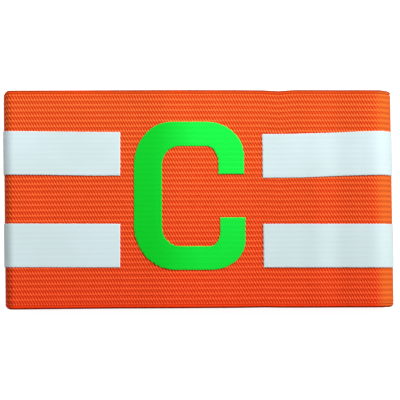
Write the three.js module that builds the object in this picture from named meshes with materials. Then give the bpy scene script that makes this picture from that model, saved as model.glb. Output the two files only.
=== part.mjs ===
// Captain armband lying flat: a loop of ribbed elastic with a raised letter C and two white stripes on each side.
// Millimetres. +X runs along the band as it lies, +Y across its width, +Z up. The back layer rests on z = 0.

import * as THREE from 'three';

// Elastic band: outside sizes of the loop as it lies
const bandWidth = 70;
const flatLength = 123.8;
const loopHeight = 10;
const wall = 1.6;

// Share of its height that the loop loses at its top left corner
const cornerPress = 0.4;

// Ribs run along the band, between two smooth woven edges
const ribCount = 40;
const ribRelief = 0.25;
const selvedgeWidth = 1.4;

// Seam behind the letter, where the two ends of the elastic are butted and sewn
const seamOffset = -3;
const seamWidth = 3;
const seamPinch = 0.3;

// Films pressed on to the ribs
const filmThickness = 0.4;
const filmGap = 0.2;

// Letter C, in plan
const letterWidth = 35.4;
const letterHeight = 47.2;
const letterStem = 9;
const letterTopBar = 7.8;
const letterBottomBar = 7.6;
const letterUpperArm = 8.3;
const letterLowerArm = 8.1;
const letterUpperArmSetback = 0.3;
const letterMouth = 13.65;
const letterOffsetX = -2.67;
const letterOffsetY = 1.3;

// Stripes, in plan
const stripeWidth = 14;
const stripeSpread = 43.5;
const stripeOffsetY = 0.2;
const leftStripeToLetter = 4.36;
const rightStripeToLetter = 5.57;

// Fineness of the curves
const quarterSteps = 5;
const frontSteps = 24;
const cornerSteps = 7;
const letterStep = 3;
const filmSpans = 2;
const stripeTuckStep = 2;

// Folds seen from the band's edge. Depths and waist are shares of the height of the fold's middle line:
// depth is how far a quarter reaches past its straight layer, waist is where the fold is widest.
const folds = {
  left: { lowerDepth: 0.47, upperDepth: 0.76, waist: 0.47 },
  right: { lowerDepth: 0.44, upperDepth: 0.88, waist: 0.43 },
};

// Front layer from the left crest to the right one. Along is a share of the way between the crests, and rise
// is a share of the height of the middle line at the right crest.
const frontWaves = [
  { along: 0.0, rise: 0.66 },
  { along: 0.1, rise: 0.69 },
  { along: 0.22, rise: 0.76 },
  { along: 0.33, rise: 0.86 },
  { along: 0.42, rise: 0.97 },
  { along: 0.54, rise: 0.9 },
  { along: 0.66, rise: 0.81 },
  { along: 0.78, rise: 0.85 },
  { along: 0.84, rise: 0.89 },
  { along: 0.91, rise: 0.89 },
  { along: 0.97, rise: 0.98 },
  { along: 1.0, rise: 1.0 },
];

// Edges of the band in plan. Along is a share of the flat length from the left fold. Top and bottom are how far
// each edge is drawn in and skew how far it leans, as shares of the band's width.
const edgeRuns = [
  { along: 0.0065, top: 0.0205, bottom: 0.0114, skew: 0.005 },
  { along: 0.009, top: 0.006, bottom: 0.0024, skew: 0.005 },
  { along: 0.0125, top: 0.0015, bottom: 0.0, skew: 0.005 },
  { along: 0.03, top: 0.001, bottom: 0.0, skew: 0.004 },
  { along: 0.3, top: 0.0, bottom: 0.005, skew: 0.0 },
  { along: 0.6, top: 0.0, bottom: 0.008, skew: 0.003 },
  { along: 0.67, top: 0.001, bottom: 0.01, skew: 0.006 },
  { along: 0.71, top: 0.005, bottom: 0.009, skew: 0.006 },
  { along: 0.75, top: 0.0, bottom: 0.009, skew: 0.006 },
  { along: 0.9725, top: 0.001, bottom: 0.011, skew: 0.008 },
  { along: 0.9915, top: 0.0096, bottom: 0.0122, skew: 0.008 },
  { along: 0.9935, top: 0.0115, bottom: 0.018, skew: 0.008 },
];

// Corners of the letter, from the upper arm round to the lower one. Radii are shares of the letter's width and
// height on the outside, and of the counter's on the inside.
const letterCorners = [
  { right: true, top: true, outerX: 0.34, outerY: 0.23, innerX: 0.21, innerY: 0.18 },
  { right: false, top: true, outerX: 0.34, outerY: 0.29, innerX: 0.31, innerY: 0.19 },
  { right: false, top: false, outerX: 0.37, outerY: 0.3, innerX: 0.31, innerY: 0.19 },
  { right: true, top: false, outerX: 0.31, outerY: 0.2, innerX: 0.18, innerY: 0.14 },
];

// Stripes. Drop is how far the inner end sinks towards the bottom edge, as a share of the stripe's width.
const stripes = [
  { name: 'stripe_left_upper', left: true, upper: true, drop: 0.02 },
  { name: 'stripe_left_lower', left: true, upper: false, drop: 0.0 },
  { name: 'stripe_right_upper', left: false, upper: true, drop: 0.055 },
  { name: 'stripe_right_lower', left: false, upper: false, drop: 0.02 },
];

const elasticMaterial = new THREE.MeshStandardMaterial({ color: '#eb4f22', roughness: 0.85, metalness: 0 });
const letterMaterial = new THREE.MeshStandardMaterial({ color: '#1bd43a', roughness: 0.4, metalness: 0 });
const stripeMaterial = new THREE.MeshStandardMaterial({ color: '#dbe6e8', roughness: 0.55, metalness: 0 });

// Middle line of the cloth, worked out from the outside sizes
const middleHalfLength = (flatLength - wall) / 2;
const middleFloor = wall / 2;
const middleHeight = loopHeight - wall;

function mix(a, b, share) {
  return a + (b - a) * share;
}

function mixPoint(a, b, share) {
  return { x: mix(a.x, b.x, share), y: mix(a.y, b.y, share) };
}

// A table's column at a place along it, with straight lines between the rows
function readColumn(rows, column, along) {
  const next = rows.findIndex((row) => row.along >= along);
  if (next <= 0) return rows[next < 0 ? rows.length - 1 : 0][column];
  const before = rows[next - 1];
  const after = rows[next];
  return mix(before[column], after[column], (along - before.along) / (after.along - before.along));
}

// One quarter of a fold. Side is -1 on the left and 1 on the right. It starts at the straight layer and ends at
// the fold's widest point.
function foldQuarter(side, fold, crest, isUpper) {
  const height = crest.z - middleFloor;
  const waistZ = middleFloor + height * fold.waist;
  const depth = (isUpper ? fold.upperDepth : fold.lowerDepth) * height;
  const reach = isUpper ? crest.z - waistZ : waistZ - middleFloor;
  const up = isUpper ? 1 : -1;
  const stations = [];
  for (let step = 0; step <= quarterSteps; step += 1) {
    const turn = (Math.PI / 2) * (step / quarterSteps);
    const outward = new THREE.Vector2(side * Math.sin(turn) / depth, up * Math.cos(turn) / reach).normalize();
    stations.push({
      x: side * (middleHalfLength - depth + depth * Math.sin(turn)),
      z: waistZ + up * reach * Math.cos(turn),
      outward,
      ribShare: isUpper ? 1 : Math.sin(turn),
      pinch: 0,
    });
  }
  return stations;
}

// Crest of each fold, where the front layer starts
function foldCrest(side, fold, rise) {
  const height = middleHeight * rise;
  return { x: side * (middleHalfLength - fold.upperDepth * height), z: middleFloor + height };
}

// Front layer from the right crest back to the left one, without the crests themselves
function frontStations(leftCrest, rightCrest) {
  const points = frontWaves.map(
    (row) => new THREE.Vector2(mix(leftCrest.x, rightCrest.x, row.along), middleFloor + middleHeight * row.rise),
  );
  const curve = new THREE.SplineCurve(points);
  const stations = [];
  for (let step = frontSteps - 1; step > 0; step -= 1) {
    const point = curve.getPointAt(step / frontSteps);
    const tangent = curve.getTangentAt(step / frontSteps);
    stations.push({
      x: point.x,
      z: point.y,
      outward: new THREE.Vector2(-tangent.y, tangent.x),
      ribShare: 1,
      pinch: 0,
    });
  }
  return stations;
}

// Back layer, flat on the floor, with the seam's groove
function backStations() {
  return [-1, 0, 1].map((side) => ({
    x: seamOffset + (side * seamWidth) / 2,
    z: middleFloor,
    outward: new THREE.Vector2(0, -1),
    ribShare: 0,
    pinch: side === 0 ? seamPinch : 0,
  }));
}

const leftCrest = foldCrest(-1, folds.left, frontWaves[0].rise);
const rightCrest = foldCrest(1, folds.right, frontWaves[frontWaves.length - 1].rise);
const back = backStations();
const front = frontStations(leftCrest, rightCrest);
const rightFold = [
  ...foldQuarter(1, folds.right, rightCrest, false),
  ...foldQuarter(1, folds.right, rightCrest, true).reverse().slice(1),
];
const leftFold = [
  ...foldQuarter(-1, folds.left, leftCrest, true),
  ...foldQuarter(-1, folds.left, leftCrest, false).reverse().slice(1),
];

// Front layer with both crests, from right to left
const frontLine = [rightFold[rightFold.length - 1], ...front, leftFold[0]];

// Height of a point above the band's long middle line. Across runs from 0 at the bottom edge to 1 at the top one.
function bandY(station, across) {
  const along = station.x / flatLength + 0.5;
  const low = bandWidth * (readColumn(edgeRuns, 'bottom', along) - 0.5);
  const high = bandWidth * (0.5 - readColumn(edgeRuns, 'top', along));
  return mix(low, high, across);
}

// Point of the cloth at a station, leaning with the band and pressed towards its top left corner. Level is
// measured outward from the middle line.
function clothPoint(station, y, level) {
  const along = station.x / flatLength + 0.5;
  const lean = readColumn(edgeRuns, 'skew', along) * -2 * y;
  const kept = 1 - cornerPress * (1 - along) ** 2 * (y / bandWidth + 0.5);
  const outward = new THREE.Vector2(station.outward.x * kept, station.outward.y).normalize();
  return new THREE.Vector3(
    station.x + outward.x * level + lean,
    y,
    middleFloor + (station.z - middleFloor) * kept + outward.y * level,
  );
}

// Station of the front layer at a distance along the band
function frontStationAt(x) {
  const next = frontLine.findIndex((station) => station.x <= x);
  const after = frontLine[Math.max(next, 1)];
  const before = frontLine[Math.max(next, 1) - 1];
  const share = (x - before.x) / (after.x - before.x);
  return {
    x,
    z: mix(before.z, after.z, share),
    outward: before.outward.clone().lerp(after.outward, share),
  };
}

// Closed mesh through rings of points. A loop of rings closes on itself, and an open row of them gets end faces.
function ringMesh(name, rings, isLoop, material) {
  const size = rings[0].length;
  const points = rings.flat();
  const faces = [];
  const lastRing = isLoop ? rings.length : rings.length - 1;
  for (let ring = 0; ring < lastRing; ring += 1) {
    for (let side = 0; side < size; side += 1) {
      const a = ring * size + side;
      const b = ring * size + ((side + 1) % size);
      const c = ((ring + 1) % rings.length) * size + ((side + 1) % size);
      const d = ((ring + 1) % rings.length) * size + side;
      faces.push([a, b, c], [a, c, d]);
    }
  }
  if (!isLoop) {
    const end = points.length - size;
    for (let side = 1; side < size - 1; side += 1) {
      faces.push([0, side + 1, side], [end, end + side, end + side + 1]);
    }
  }
  const volume = faces.reduce(
    (sum, [a, b, c]) => sum + points[a].dot(new THREE.Vector3().crossVectors(points[b], points[c])),
    0,
  );
  const outwardFaces = volume > 0 ? faces : faces.map(([a, b, c]) => [a, c, b]);
  const geometry = new THREE.BufferGeometry().setFromPoints(points);
  geometry.setIndex(outwardFaces.flat());
  geometry.computeVertexNormals();
  const mesh = new THREE.Mesh(geometry, material);
  mesh.name = name;
  return mesh;
}

// Outline of the cloth cut across: ribs on the outside, plain inside, with thinner woven edges
function bandRing(station) {
  const crest = wall / 2 - station.pinch;
  const valley = crest - ribRelief * station.ribShare;
  const inside = station.pinch - wall / 2;
  const edge = selvedgeWidth / bandWidth;
  const pointAt = (across, level) => clothPoint(station, bandY(station, across), level);
  const ring = [pointAt(0, valley)];
  for (let half = 0; half <= ribCount * 2; half += 1) {
    ring.push(pointAt(mix(edge, 1 - edge, half / (ribCount * 2)), half % 2 === 0 ? valley : crest));
  }
  ring.push(pointAt(1, valley), pointAt(1, inside + ribRelief), pointAt(1 - edge, inside));
  ring.push(pointAt(edge, inside), pointAt(0, inside + ribRelief));
  return ring;
}

function elasticBand() {
  const stations = [...back, ...rightFold, ...front, ...leftFold];
  return ringMesh('elastic_band', stations.map(bandRing), true, elasticMaterial);
}

// Outline of a film cut across, from a first place to a second one, each a station and a height y. It goes
// across near the ribs and comes back on the outside. Stations holds the stations of the places between.
function filmRing(stations, firstY, secondY) {
  const low = wall / 2 + filmGap;
  const last = stations.length - 1;
  const pointsAt = (level) =>
    stations.map((station, index) => clothPoint(station, mix(firstY, secondY, index / last), level));
  return [...pointsAt(low), ...pointsAt(low + filmThickness).reverse()];
}

// Points of a rounded corner, on an ellipse of its own radii
function cornerArc(corner, order, box, radiusX, radiusY) {
  const centerX = corner.right ? box.right - radiusX : box.left + radiusX;
  const centerY = corner.top ? box.top - radiusY : box.bottom + radiusY;
  const points = [];
  for (let step = 0; step <= cornerSteps; step += 1) {
    const turn = (Math.PI / 2) * (order + step / cornerSteps);
    points.push({ x: centerX + radiusX * Math.cos(turn), y: centerY + radiusY * Math.sin(turn) });
  }
  return points;
}

// Two matched lines with points added, so that no step of the first one is longer than a limit
function closerPoints(first, second, limit) {
  const closerFirst = [first[0]];
  const closerSecond = [second[0]];
  for (let index = 1; index < first.length; index += 1) {
    const [from, to] = [first[index - 1], first[index]];
    const count = Math.max(1, Math.ceil(Math.hypot(to.x - from.x, to.y - from.y) / limit));
    for (let step = 1; step <= count; step += 1) {
      closerFirst.push(mixPoint(from, to, step / count));
      closerSecond.push(mixPoint(second[index - 1], second[index], step / count));
    }
  }
  return [closerFirst, closerSecond];
}

// Outer box of the letter, and the box of its counter, at the height of one corner
function letterBoxes(corner) {
  const setback = corner.top ? letterUpperArmSetback : 0;
  const outer = {
    left: letterOffsetX - letterWidth / 2,
    right: letterOffsetX + letterWidth / 2 - setback,
    bottom: letterOffsetY - letterHeight / 2,
    top: letterOffsetY + letterHeight / 2,
  };
  const inner = {
    left: outer.left + letterStem,
    right: outer.right - (corner.top ? letterUpperArm : letterLowerArm),
    bottom: outer.bottom + letterBottomBar,
    top: outer.top - letterTopBar,
  };
  return { outer, inner };
}

function captainLetter() {
  const outerLine = [];
  const innerLine = [];
  const addTerminal = (corner, up) => {
    const { outer, inner } = letterBoxes(corner);
    const y = letterOffsetY + (up * letterMouth) / 2;
    outerLine.push({ x: outer.right, y });
    innerLine.push({ x: inner.right, y });
  };
  addTerminal(letterCorners[0], 1);
  letterCorners.forEach((corner, order) => {
    const { outer, inner } = letterBoxes(corner);
    const counterWidth = inner.right - inner.left;
    const counterHeight = inner.top - inner.bottom;
    outerLine.push(
      ...cornerArc(corner, order, outer, corner.outerX * letterWidth, corner.outerY * letterHeight),
    );
    innerLine.push(
      ...cornerArc(corner, order, inner, corner.innerX * counterWidth, corner.innerY * counterHeight),
    );
  });
  addTerminal(letterCorners[letterCorners.length - 1], -1);
  const [outerPoints, innerPoints] = closerPoints(outerLine, innerLine, letterStep);
  const rings = outerPoints.map((outer, index) => {
    const inner = innerPoints[index];
    const stations = [];
    for (let span = 0; span <= filmSpans; span += 1) {
      stations.push(frontStationAt(mix(outer.x, inner.x, span / filmSpans)));
    }
    return filmRing(stations, outer.y, inner.y);
  });
  return ringMesh('captain_letter', rings, false, letterMaterial);
}

// A stripe runs from its square end beside the letter, over the fold, and is tucked part of the way under it
function stripe(row) {
  const letterEdge = letterOffsetX + (row.left ? -letterWidth : letterWidth) / 2;
  const end = row.left ? letterEdge - leftStripeToLetter : letterEdge + rightStripeToLetter;
  const reach = flatLength / 2 - Math.abs(end);
  const frontPart = front.filter((station) => (row.left ? station.x < end : station.x > end));
  const stations = row.left
    ? [frontStationAt(end), ...frontPart, ...leftFold.slice(0, leftFold.length - stripeTuckStep)]
    : [...rightFold.slice(stripeTuckStep), ...frontPart, frontStationAt(end)];
  const outerEdge = stripeSpread / 2;
  const top = stripeOffsetY + (row.upper ? outerEdge : stripeWidth - outerEdge);
  const rings = stations.map((station) => {
    const fromFold = flatLength / 2 - Math.abs(station.x);
    const sink = (row.drop * stripeWidth * fromFold) / reach;
    return filmRing([station, station], top - sink - stripeWidth, top - sink);
  });
  return ringMesh(row.name, rings, false, stripeMaterial);
}

const armband = new THREE.Group();
armband.add(elasticBand(), captainLetter(), ...stripes.map(stripe));

// The origin is under the middle of the armband, on the surface that it rests on
const bounds = new THREE.Box3().setFromObject(armband);
const middle = bounds.getCenter(new THREE.Vector3());
armband.position.set(-middle.x, -middle.y, -bounds.min.z);
armband.updateMatrixWorld(true);

export default armband;
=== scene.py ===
"""Captain armband, lying flat: a loop of ribbed elastic with a raised letter film and white stripe films.

The woven loop replaces the frame's plain one and follows the same middle line. Its ribs and stitches are
real relief, and the films lie on them. Lengths are in millimetres, and in metres once a mesh is made.
"""

import math

import bmesh
import bpy
import numpy as np
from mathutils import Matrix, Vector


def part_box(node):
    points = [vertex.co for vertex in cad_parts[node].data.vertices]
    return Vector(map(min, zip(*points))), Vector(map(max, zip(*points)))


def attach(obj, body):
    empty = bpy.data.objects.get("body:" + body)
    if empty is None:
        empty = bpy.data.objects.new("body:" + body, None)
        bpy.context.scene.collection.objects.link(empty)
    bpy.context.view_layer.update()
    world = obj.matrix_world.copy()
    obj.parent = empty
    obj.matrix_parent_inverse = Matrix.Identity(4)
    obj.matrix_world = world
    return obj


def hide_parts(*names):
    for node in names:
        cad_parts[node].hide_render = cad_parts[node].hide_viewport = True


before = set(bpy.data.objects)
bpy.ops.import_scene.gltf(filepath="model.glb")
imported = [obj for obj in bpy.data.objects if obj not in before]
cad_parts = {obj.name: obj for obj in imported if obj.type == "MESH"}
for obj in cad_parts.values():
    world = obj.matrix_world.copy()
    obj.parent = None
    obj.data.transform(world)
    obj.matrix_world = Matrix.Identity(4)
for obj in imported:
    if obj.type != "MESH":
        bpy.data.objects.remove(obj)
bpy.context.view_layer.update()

MM = 0.001
BODY = "root"

# Elastic loop, with the frame's own sizes
BAND_WIDTH = 70.0
FLAT_LENGTH = 123.8
LOOP_HEIGHT = 10.0
WALL = 1.6
RIB_COUNT = 40
SELVEDGE_WIDTH = 1.4
SELVEDGE_SHARE = SELVEDGE_WIDTH / BAND_WIDTH
SEAM_OFFSET = -3.0
SEAM_WIDTH = 3.0
SEAM_PINCH = 0.3

# Share of its height that the loop loses at its top left corner
CORNER_PRESS = 0.4

# Weave: one stitch along the band, its relief, and two rows of holes in each rib. The holes stand in
# slanted lines that run one stitch to the right in each rib downwards. Their places and reach are in ribs
STITCH_PITCH = 0.88
RIB_DEPTH = 0.1
HOLE_DEPTH = 0.32
UPPER_HOLE = 0.71
LOWER_HOLE = 0.29
HOLE_REACH = 0.27
HOLE_SHARPNESS = 1.8
UPPER_HOLE_STRENGTH = 0.9
SLANT_STRENGTH = 0.45
LINK_FADE = 0.6
INSIDE_RIB_DEPTH = 0.16

# Mesh of the weave: columns in a stitch where the front shows, stitches over which the rows' shifts set in,
# and the stitches' random drift with the rows and columns between its knots
COLUMNS_PER_STITCH = 3
STITCHES_TO_SETTLE = 4
STITCH_DRIFT = 0.16
DRIFT_ROWS = 12
DRIFT_COLUMNS = 30
DRIFT_SEED = 11

# Height above the floor where the relief starts, and how much further up it is complete
RELIEF_START = 0.4
RELIEF_RISE = 2.0

# Right fold, where the yarn is stretched and the elastic gets a painted highlight: places where that starts
# and is complete, and how far holes close
STRETCH_START = 56.0
STRETCH_FULL = 58.2
STRETCH_CLOSING = 0.75

# Low ripples across the lower right of the front layer. The last two are shares of the loop's height and of
# the band's width
RIPPLE_HEIGHT = 0.15
RIPPLE_PITCH = 11.5
RIPPLE_CREST = 38.2
RIPPLE_MIDDLE = 41.2
RIPPLE_REACH = 15.0
RIPPLE_FROM_HEIGHT = 0.7
RIPPLE_TO_WIDTH = 0.6

# How strongly each feature of the weave shows in the elastic's colour, and the weave in the films' colour.
# All are painted light: highlights on the links and the right fold, shade in the selvedge, furrows and
# holes, and shade in the films over holes and furrows. The holes' share also draws the seam's dark line.
LINK_HIGHLIGHT_SHOWN = 0.8
FOLD_HIGHLIGHT_SHOWN = 0.8
SELVEDGE_SHADE_SHOWN = 1.6
FURROW_SHADE_SHOWN = 0.5
HOLE_SHADE_AND_SEAM_SHOWN = 0.97
HOLE_SHADE_ON_FILM = 0.45
FURROW_SHADE_ON_FILM = 0.12

# Painted shade along the selvedge's rounded outer rim: where it starts, in ribs past the last one, and how
# fast it grows
RIM_START = 0.33
RIM_GROWTH = 6.0

# Films, with the share of their thickness at the rim and the rows that round it, as shares of the edge
FILM_LIFT = 0.015
FILM_THICKNESS = 0.21
FILM_EDGE = 0.3
FILM_RIM_SHARE = 0.45
FILM_RIM_ROWS = (0.15, 0.4, 0.7)
FILM_SAG = 0.012
FILM_RAGGEDNESS = 0.2
FILM_STRAY = 0.3
FILM_STEP = 0.3
FILM_ACROSS_STEP = 0.42

# Letter C, in plan
LETTER_WIDTH = 35.4
LETTER_HEIGHT = 47.2
LETTER_STEM = 9.0
LETTER_TOP_BAR = 7.8
LETTER_BOTTOM_BAR = 7.6
LETTER_UPPER_ARM = 8.3
LETTER_LOWER_ARM = 8.1
LETTER_UPPER_ARM_SETBACK = 0.3
LETTER_MOUTH = 13.65
LETTER_X = -2.67
LETTER_Y = 1.3
LETTER_STEP = 0.39
ARC_STEPS = 30

# Stripes, in plan
STRIPE_WIDTH = 14.0
STRIPE_SPREAD = 43.5
STRIPE_Y = 0.2
LEFT_STRIPE_TO_LETTER = 4.36
RIGHT_STRIPE_TO_LETTER = 5.57
STRIPE_TUCK = 1.28

# Stripes on the right follow the band's drooping top edge from this share of its half length
DROOP_FROM = 0.9
DROOP_START = 0.001

# Stripes' sink is complete where this factor brings the way inwards up to 1
SINK_PACE = 1.15

# Seam stitches: thread, its sink into the inside of the cloth and its clearance from the floor, and zigzag
THREAD_RADIUS = 0.14
THREAD_SINK = 0.08
THREAD_CLEARANCE = 0.02
THREAD_SIDES = 8
THREAD_RINGS = 6
SEAM_STITCH_PITCH = 1.3
SEAM_STITCH_WIDTH = 2.6
SEAM_STITCH_STRAY = 0.06

# Camera: the photograph's frame in pixels, the band's middle and scale in it, and the share of the loop's
# height at which that scale holds
PHOTO_SIZE = 400
PHOTO_BAND_X = 198.1
PHOTO_BAND_Y = 199.85
PHOTO_PIXELS_PER_MM = 3.141
PHOTO_SCALE_HEIGHT = 0.8
LENS = 400.0
SENSOR = 36.0

# Folds: lower and upper depth and waist, as shares of the height of the fold's middle line
FOLDS = {
    "left": {"lower": 0.47, "upper": 0.42, "waist": 0.47},
    "right": {"lower": 0.44, "upper": 0.7, "waist": 0.43},
}

# Front layer: share of the way from the left crest to the right one, and share of the middle line's height
FRONT_WAVES = {
    "along": [0.0, 0.1, 0.22, 0.33, 0.42, 0.54, 0.66, 0.78, 0.84, 0.91, 0.97, 1.0],
    "rise": [0.66, 0.69, 0.76, 0.86, 0.97, 0.9, 0.81, 0.85, 0.89, 0.88, 0.97, 1.0],
}

# Edges in plan: how far the top and bottom edges are drawn in and the band leans, as shares of its width
EDGE_RUNS = {
    "along": [0.0065, 0.009, 0.0125, 0.03, 0.3, 0.6, 0.67, 0.71, 0.75, 0.9725, 0.9915, 0.9935],
    "top": [0.0205, 0.006, 0.0015, 0.001, 0.0, 0.0, 0.001, 0.005, 0.0, 0.001, 0.0055, 0.0065],
    "bottom": [0.0114, 0.0024, 0.0, 0.0, 0.005, 0.008, 0.01, 0.009, 0.009, 0.011, 0.0122, 0.017],
    "skew": [0.005, 0.005, 0.005, 0.004, 0.0, 0.003, 0.006, 0.006, 0.006, 0.008, 0.008, 0.008],
}

# Selvedge of the outer face from the band's edge inwards: place across, share of the half wall, and a rib
# count below 0. Then the inner face's edge: place across, and level in millimetres
SELVEDGE_ROWS = [
    (0.0, 0.0, -1.0),
    (0.003, 0.6, -0.9),
    (0.0075, 0.95, -0.35),
    (0.0125, 0.96, -0.2),
    (0.0165, 0.62, -0.5),
]
INNER_EDGE_ROWS = [(0.0035, 0.5), (0.011, 0.76)]

# Corners of the letter from the upper arm round to the lower one: shares of the letter outside and of its
# counter inside
LETTER_CORNERS = [
    {"right": True, "top": True, "outer": (0.34, 0.23), "inner": (0.21, 0.18)},
    {"right": False, "top": True, "outer": (0.34, 0.29), "inner": (0.31, 0.19)},
    {"right": False, "top": False, "outer": (0.37, 0.3), "inner": (0.31, 0.19)},
    {"right": True, "top": False, "outer": (0.31, 0.2), "inner": (0.18, 0.14)},
]

# Stripes: drop is how far the inner end sinks, as a share of the stripe's width
STRIPES = [
    {"name": "stripe_left_upper", "left": True, "upper": True, "drop": 0.02},
    {"name": "stripe_left_lower", "left": True, "upper": False, "drop": 0.0},
    {"name": "stripe_right_upper", "left": False, "upper": True, "drop": 0.068},
    {"name": "stripe_right_lower", "left": False, "upper": False, "drop": 0.0},
]


def read_column(table, column, along):
    """A table's column at places along it, with straight lines between."""
    return np.interp(along, table["along"], table[column])


def smooth_column(table, column, along):
    """A table's column as a smooth curve that is level at both ends."""
    xs, ys = np.array(table["along"]), np.array(table[column])
    slopes = np.gradient(ys, xs)
    slopes[0] = slopes[-1] = 0.0
    i = np.clip(np.searchsorted(xs, along, side="right") - 1, 0, len(xs) - 2)
    span = xs[i + 1] - xs[i]
    t = (along - xs[i]) / span
    start = (2 * t**3 - 3 * t**2 + 1) * ys[i] + (t**3 - 2 * t**2 + t) * span * slopes[i]
    end = (-2 * t**3 + 3 * t**2) * ys[i + 1] + (t**3 - t**2) * span * slopes[i + 1]
    return start + end


def unit(vectors):
    return vectors / np.linalg.norm(vectors, axis=1)[:, None]


class Loop:
    """Middle line of the cloth, seen from the band's edge, with lengths measured along it.

    It starts at the seam in the back layer and runs to the right fold, over the front layer and round the
    left fold. Positions are (x, z) in millimetres.
    """

    STEPS = 400

    def __init__(self):
        self.floor = WALL / 2
        self.height = LOOP_HEIGHT - WALL
        self.half_length = (FLAT_LENGTH - WALL) / 2
        left_crest = self.crest(-1, FOLDS["left"], FRONT_WAVES["rise"][0])
        right_crest = self.crest(1, FOLDS["right"], FRONT_WAVES["rise"][-1])
        along = np.linspace(1, 0, 2 * self.STEPS)[1:-1]
        front_x = left_crest[0] + (right_crest[0] - left_crest[0]) * along
        front_z = self.floor + self.height * smooth_column(FRONT_WAVES, "rise", along)
        front = np.stack([front_x, front_z], axis=1)
        seam = np.array([[SEAM_OFFSET, self.floor]])
        right = self.fold(1, FOLDS["right"], right_crest)
        left = self.fold(-1, FOLDS["left"], left_crest)[::-1]
        parts = [seam, right, front, left, seam]
        self.points = np.concatenate(parts)
        steps = np.linalg.norm(np.diff(self.points, axis=0), axis=1)
        self.lengths = np.concatenate([[0.0], np.cumsum(steps)])
        self.length = self.lengths[-1]
        tangents = unit(np.gradient(self.points, self.lengths, axis=0))
        self.outward = np.stack([tangents[:, 1], -tangents[:, 0]], axis=1)
        starts = np.cumsum([len(part) for part in parts])
        self.right_waist = self.lengths[starts[0] + self.STEPS]
        self.left_waist = self.lengths[starts[2] + self.STEPS]

    def crest(self, side, fold, rise):
        height = self.height * rise
        return side * (self.half_length - fold["upper"] * height), self.floor + height

    def fold(self, side, fold, crest):
        """Points from the back layer up to the crest."""
        height = crest[1] - self.floor
        waist = self.floor + height * fold["waist"]
        turn = np.linspace(0, np.pi / 2, self.STEPS + 1)
        ways = (np.sin(turn), np.cos(turn))
        quarters = []
        for half, end, way_out, way_off in (("lower", self.floor, *ways), ("upper", crest[1], *ways[::-1])):
            depth = fold[half] * height
            x = side * (self.half_length - depth + depth * way_out)
            quarters.append(np.stack([x, waist + (end - waist) * way_off], axis=1))
        return np.concatenate([quarters[0], quarters[1][1:]])

    def at(self, length):
        """Position and outward direction, each with x and z, at lengths along the loop."""
        length = np.mod(length, self.length)
        place = [np.interp(length, self.lengths, self.points[:, k]) for k in range(2)]
        outward = np.stack([np.interp(length, self.lengths, self.outward[:, k]) for k in range(2)])
        outward /= np.linalg.norm(outward, axis=0)
        return np.array(place), outward

    def front_length(self, x):
        """Length along the loop at places x on the front layer or on a fold's upper half."""
        on_front = (self.lengths >= self.right_waist) & (self.lengths <= self.left_waist)
        return np.interp(-x, -self.points[on_front, 0], self.lengths[on_front])


loop = Loop()
STITCH_COUNT = round(loop.length / STITCH_PITCH / 2) * 2


def stitch_at(length):
    """Count of stitches at a length along the loop."""
    return float(length / loop.length * STITCH_COUNT)


def stretch_reach():
    """Stitches from the right fold's waist to where the stretch starts and to where it is complete."""
    return [stitch_at(loop.front_length(x) - loop.right_waist) for x in (STRETCH_START, STRETCH_FULL)]


def band_y(x, across):
    """Height above the long middle line. Across runs from 0 at the bottom edge to 1 at the top one."""
    along = x / FLAT_LENGTH + 0.5
    low = BAND_WIDTH * (read_column(EDGE_RUNS, "bottom", along) - 0.5)
    high = BAND_WIDTH * (0.5 - read_column(EDGE_RUNS, "top", along))
    return low + (high - low) * across


def ripple(x, z, y):
    """Rise of the front layer's low ripples, which fade towards the band's top and towards the folds."""
    window = np.clip(1 - ((x - RIPPLE_MIDDLE) / RIPPLE_REACH) ** 2, 0.0, 1.0) ** 2
    on_front = np.clip(z - loop.height * RIPPLE_FROM_HEIGHT, 0.0, 1.0)
    wave = np.cos((x - RIPPLE_CREST) / RIPPLE_PITCH * 2 * np.pi)
    below_top = np.clip(RIPPLE_TO_WIDTH - y / BAND_WIDTH, 0.0, 1.0)
    return RIPPLE_HEIGHT * wave * window * on_front * below_top


def cloth_points(length, y, level):
    """Points of the cloth and its outward directions. Level is measured from the cloth's middle line."""
    place, outward = loop.at(length)
    along = np.clip(place[0] / FLAT_LENGTH + 0.5, 0.0, 1.0)
    kept = 1 - CORNER_PRESS * (1 - along) ** 2 * (y / BAND_WIDTH + 0.5)
    out_x = outward[0] * kept
    size = np.hypot(out_x, outward[1])
    out_x, out_z = out_x / size, outward[1] / size
    lean = read_column(EDGE_RUNS, "skew", along) * -2 * y
    height = loop.floor + (place[1] - loop.floor) * kept + ripple(place[0], place[1], y)
    points = np.stack([place[0] + out_x * level + lean, y, height + out_z * level], -1)
    return points, np.stack([out_x, np.zeros_like(out_x), out_z], -1)


def frame_shift():
    """Way from the band's own middle to the middle of the frame's band, in metres."""
    low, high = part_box("elastic_band")
    lengths = np.linspace(0, loop.length, 2000)
    x = loop.at(lengths)[0][0]
    corners = [cloth_points(lengths, band_y(x, across), WALL / 2)[0] for across in (0.0, 1.0)]
    corners = np.concatenate(corners)
    middle = (corners.min(axis=0) + corners.max(axis=0)) / 2
    return (low[0] + high[0]) / 2 - middle[0] * MM, (low[1] + high[1]) / 2 - middle[1] * MM


SHIFT = np.array([*frame_shift(), 0.0])


def add_object(name, data):
    """Object of the scene, at the origin."""
    item = bpy.data.objects.new(name, data)
    bpy.context.scene.collection.objects.link(item)
    return item


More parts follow.
